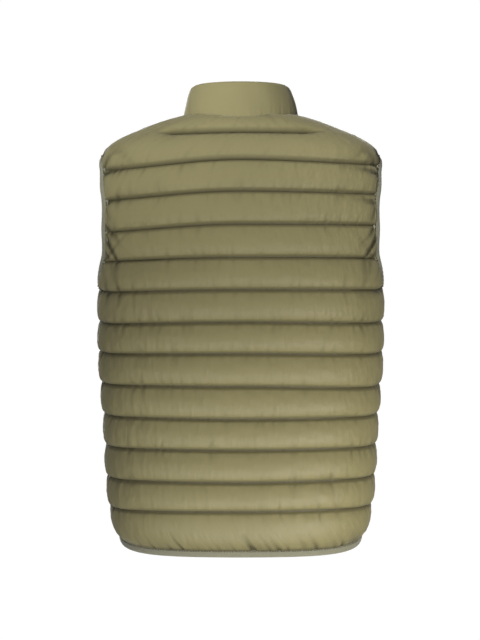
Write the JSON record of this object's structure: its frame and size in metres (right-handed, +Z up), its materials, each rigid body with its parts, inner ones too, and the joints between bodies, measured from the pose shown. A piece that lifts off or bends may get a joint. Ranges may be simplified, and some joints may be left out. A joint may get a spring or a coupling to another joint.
{
  "type": "puffer vest",
  "caption": "Quilted, padded sleeveless vest with stand collar and full-length front zip, filled out as worn, hollow and open at neck, armholes and hem.",
  "frame": {"origin": "midway between the two points where the shoulder seams meet the neck, where the wearer's shoulders hold the vest", "axes": "+Z up, the front faces -Y, the wearer's left is +X"},
  "size_m": [0.4405, 0.2635, 0.7179],
  "materials": {
    "shell": "smooth olive woven nylon, soft sheen",
    "binding": "matt grey-green elastic binding",
    "zip_tape": "matt woven olive tape",
    "zip_coil": "satin nylon coil",
    "zip_metal": "satin painted zinc"
  },
  "bodies": {
    "vest": {"back": "shell", "front_left": "shell", "front_right": "shell", "collar": "shell", "armhole_binding_left": "binding", "armhole_binding_right": "binding", "hem_binding": "binding", "zip_tape_left": "zip_tape", "zip_tape_right": "zip_tape", "zip_coil": "zip_coil", "zip_slider": "zip_metal"},
    "pull_tab": {"zip_pull": "zip_metal"}
  },
  "joints": [
    {"name": "pull_tab_hinge", "type": "hinge", "parent": "vest", "child": "pull_tab", "pos_m": [0, -0.08405, -0.02036], "axis": [-1, 0, 0], "range_deg": [0, 160]}
  ]
}
